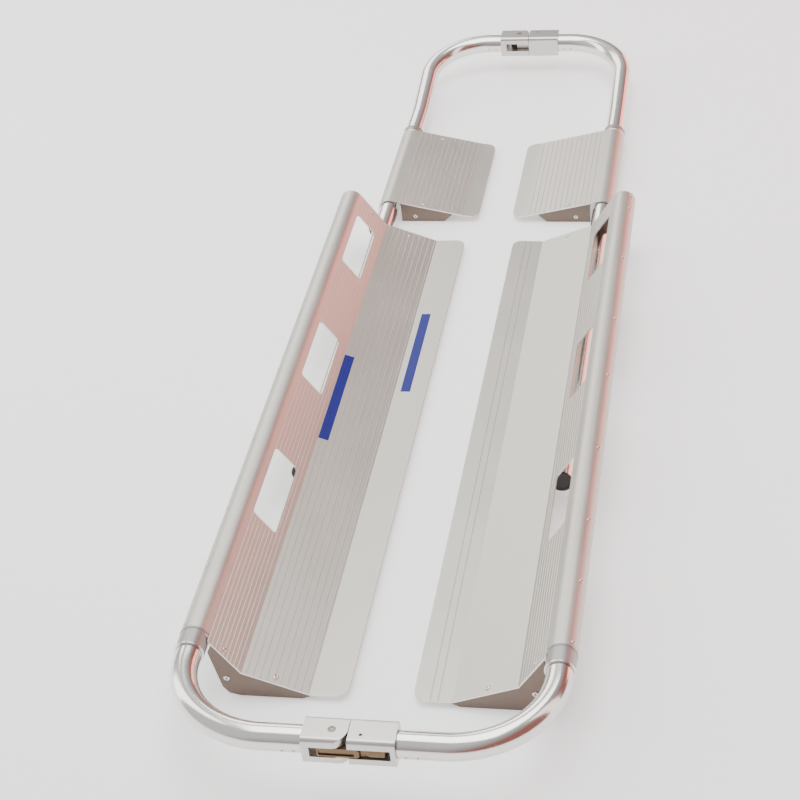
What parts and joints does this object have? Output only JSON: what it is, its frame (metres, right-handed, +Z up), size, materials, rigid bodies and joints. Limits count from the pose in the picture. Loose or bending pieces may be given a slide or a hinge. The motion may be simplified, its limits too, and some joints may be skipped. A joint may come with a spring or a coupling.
{
  "type": "scoop stretcher",
  "caption": "Aluminium scoop stretcher in two lengthwise halves that part at end couplings, with a telescoping leg section and hand holes.",
  "frame": {"origin": "middle of the stretcher's width and length, on the floor that it stands on", "axes": "+X to the right half, +Y from the head end to the foot end, +Z up"},
  "size_m": [0.4336, 1.675, 0.0945],
  "materials": {
    "tube": "polished drawn tube",
    "panel": "satin extrusion with fine lengthwise grooves",
    "plate": "dark anodised sheet",
    "block": "satin cast block with rounded edges",
    "latch": "stainless lever, slightly brown in its recess",
    "steel": "bright steel pins, housings and springs",
    "collar": "grey cast collar",
    "plastic": "black nylon"
  },
  "bodies": {
    "left_main": {"left_side_tube": "tube", "left_main_panel": "panel", "left_head_collar": "collar", "left_head_plate": "plate", "left_foot_plate": "plate", "left_rail_plug": "plastic", "left_guide_block": "plastic", "left_lock_housing": "steel", "head_fork_block": "block", "head_coupling_pin": "steel"},
    "left_lock": {"left_lock_plunger": "steel", "left_lock_knob": "plastic"},
    "left_leg": {"left_leg_tube": "tube", "left_leg_panel": "panel", "left_leg_collar": "collar", "left_leg_near_plate": "plate", "left_leg_far_plate": "plate", "left_tail_plug": "plastic", "foot_fork_block": "block", "foot_coupling_pin": "steel"},
    "right_main": {"right_side_tube": "tube", "right_main_panel": "panel", "right_head_collar": "collar", "right_head_plate": "plate", "right_foot_plate": "plate", "right_rail_plug": "plastic", "right_guide_block": "plastic", "right_lock_housing": "steel", "head_tongue_block": "block", "head_latch_pin": "steel", "head_latch_spring": "steel"},
    "right_lock": {"right_lock_plunger": "steel", "right_lock_knob": "plastic"},
    "right_leg": {"right_leg_tube": "tube", "right_leg_panel": "panel", "right_leg_collar": "collar", "right_leg_near_plate": "plate", "right_leg_far_plate": "plate", "right_tail_plug": "plastic", "foot_tongue_block": "block", "foot_latch_pin": "steel", "foot_latch_spring": "steel"},
    "head_latch": {"head_latch_lever": "latch"},
    "foot_latch": {"foot_latch_lever": "latch"}
  },
  "joints": [
    {"name": "leg_slide", "type": "slide", "parent": "left_main", "child": "left_leg", "axis": [0, 1, 0], "range_m": [0, 0.35]},
    {"name": "scoop_hinge", "type": "hinge", "parent": "left_leg", "child": "right_leg", "pos_m": [-0.018, 0.8209, 0.04801], "axis": [0, 0, 1], "range_deg": [0, 50]},
    {"name": "right_leg_slide", "type": "slide", "parent": "right_leg", "child": "right_main", "axis": [0, -1, 0], "range_m": [0, 0.35]},
    {"name": "head_latch", "type": "hinge", "parent": "right_main", "child": "head_latch", "pos_m": [0.0125, -0.8262, 0.077], "axis": [0, 0, 1], "range_deg": [0, 8], "stiffness_Nm_per_rad": 0.3, "springref_deg": -5.73, "deforming": ["head_latch_spring"]},
    {"name": "foot_latch", "type": "hinge", "parent": "right_leg", "child": "foot_latch", "pos_m": [0.0125, 0.8262, 0.04801], "axis": [0, 0, -1], "range_deg": [0, 8], "stiffness_Nm_per_rad": 0.3, "springref_deg": -5.73, "deforming": ["foot_latch_spring"]},
    {"name": "left_lock", "type": "slide", "parent": "left_main", "child": "left_lock", "axis": [1, 0, 0], "range_m": [0, 0.006]},
    {"name": "right_lock", "type": "slide", "parent": "right_main", "child": "right_lock", "axis": [-1, 0, 0], "range_m": [0, 0.006]}
  ],
  "couplings": [
    {"joint": "right_leg_slide", "follows": "leg_slide", "ratio": 1}
  ]
}
